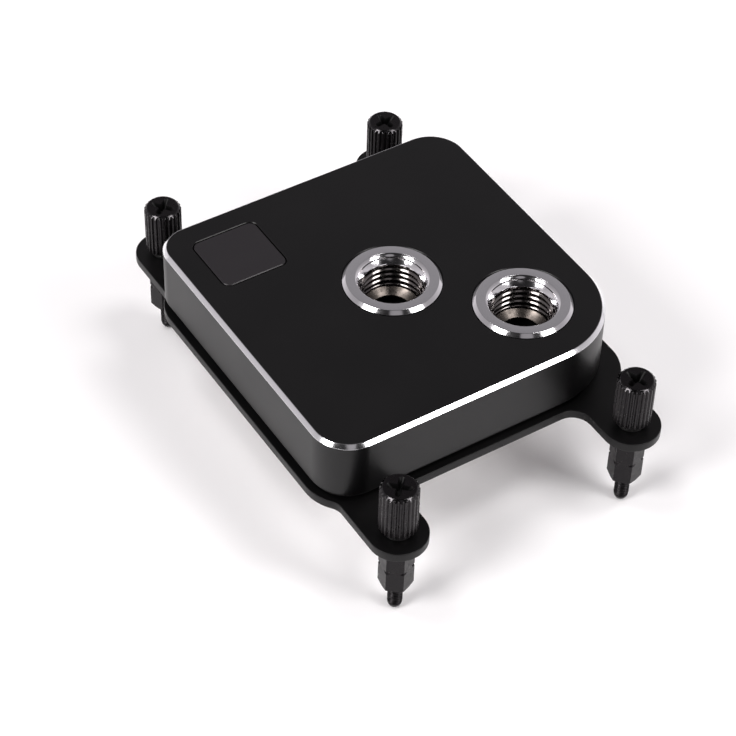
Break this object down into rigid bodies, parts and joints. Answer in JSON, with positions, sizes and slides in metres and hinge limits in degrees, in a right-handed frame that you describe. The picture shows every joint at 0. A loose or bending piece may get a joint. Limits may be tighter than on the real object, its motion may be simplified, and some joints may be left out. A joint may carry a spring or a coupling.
{
  "type": "cpu water block",
  "caption": "Square liquid cooling block with chamfered black cover, threaded ports, finned cold plate and a tabbed frame with sprung thumb screws.",
  "frame": {"origin": "centre of the cold plate's contact face, on the axis of the mounting hole pattern", "axes": "+Z out of the ports, away from the cooled surface; X along the short side of the hole pattern, Y along the long side, with the outlet port towards +X and -Y"},
  "size_m": [0.072, 0.102, 0.037],
  "materials": {
    "cover": "satin black anodised",
    "badge": "brushed dark grey",
    "port_nickel": "bright nickel plate",
    "seal": "matte",
    "flow_body": "matte",
    "bright_steel": "bright",
    "cold_plate": "nickel-plated copper, lapped",
    "bracket": "satin black",
    "black_hardware": "black oxide",
    "washer": "matte"
  },
  "bodies": {
    "block": {"cover": "cover", "badge_plate": "badge", "inlet_port_insert": "port_nickel", "outlet_port_insert": "port_nickel", "inlet_port_seal": "seal", "outlet_port_seal": "seal", "flow_body": "flow_body", "jet_plate": "bright_steel", "main_seal": "seal", "cold_plate": "cold_plate", "bracket": "bracket", "cold_plate_screw_1": "bright_steel", "cold_plate_screw_2": "bright_steel", "cold_plate_screw_3": "bright_steel", "cold_plate_screw_4": "bright_steel", "cold_plate_screw_5": "bright_steel", "cold_plate_screw_6": "bright_steel", "cold_plate_screw_7": "bright_steel", "cold_plate_screw_8": "bright_steel", "standoff_front_left": "black_hardware", "seat_washer_front_left": "washer", "spring_front_left": "bright_steel", "standoff_front_right": "black_hardware", "seat_washer_front_right": "washer", "spring_front_right": "bright_steel", "standoff_back_left": "black_hardware", "seat_washer_back_left": "washer", "spring_back_left": "bright_steel", "standoff_back_right": "black_hardware", "seat_washer_back_right": "washer", "spring_back_right": "bright_steel"},
    "washer_front_left": {"slip_washer_front_left": "washer"},
    "screw_front_left": {"thumb_screw_front_left": "black_hardware"},
    "washer_front_right": {"slip_washer_front_right": "washer"},
    "screw_front_right": {"thumb_screw_front_right": "black_hardware"},
    "washer_back_left": {"slip_washer_back_left": "washer"},
    "screw_back_left": {"thumb_screw_back_left": "black_hardware"},
    "washer_back_right": {"slip_washer_back_right": "washer"},
    "screw_back_right": {"thumb_screw_back_right": "black_hardware"}
  },
  "joints": [
    {"name": "thumb_lift_front_left", "type": "slide", "parent": "block", "child": "washer_front_left", "axis": [0, 0, 1], "range_m": [-0.00088, 0.0028], "deforming": ["spring_front_left"]},
    {"name": "thumb_turn_front_left", "type": "hinge", "parent": "washer_front_left", "child": "screw_front_left", "pos_m": [-0.027, -0.045, 0.005], "axis": [0, 0, 1], "range_deg": [-450, 1440]},
    {"name": "thumb_lift_front_right", "type": "slide", "parent": "block", "child": "washer_front_right", "axis": [0, 0, 1], "range_m": [-0.00088, 0.0028], "deforming": ["spring_front_right"]},
    {"name": "thumb_turn_front_right", "type": "hinge", "parent": "washer_front_right", "child": "screw_front_right", "pos_m": [0.027, -0.045, 0.005], "axis": [0, 0, 1], "range_deg": [-450, 1440]},
    {"name": "thumb_lift_back_left", "type": "slide", "parent": "block", "child": "washer_back_left", "axis": [0, 0, 1], "range_m": [-0.00088, 0.0028], "deforming": ["spring_back_left"]},
    {"name": "thumb_turn_back_left", "type": "hinge", "parent": "washer_back_left", "child": "screw_back_left", "pos_m": [-0.027, 0.045, 0.005], "axis": [0, 0, 1], "range_deg": [-450, 1440]},
    {"name": "thumb_lift_back_right", "type": "slide", "parent": "block", "child": "washer_back_right", "axis": [0, 0, 1], "range_m": [-0.00088, 0.0028], "deforming": ["spring_back_right"]},
    {"name": "thumb_turn_back_right", "type": "hinge", "parent": "washer_back_right", "child": "screw_back_right", "pos_m": [0.027, 0.045, 0.005], "axis": [0, 0, 1], "range_deg": [-450, 1440]}
  ],
  "couplings": [
    {"joint": "thumb_turn_front_left", "follows": "thumb_lift_front_left", "rad_per_m": 8976},
    {"joint": "thumb_turn_front_right", "follows": "thumb_lift_front_right", "rad_per_m": 8976},
    {"joint": "thumb_turn_back_left", "follows": "thumb_lift_back_left", "rad_per_m": 8976},
    {"joint": "thumb_turn_back_right", "follows": "thumb_lift_back_right", "rad_per_m": 8976}
  ]
}
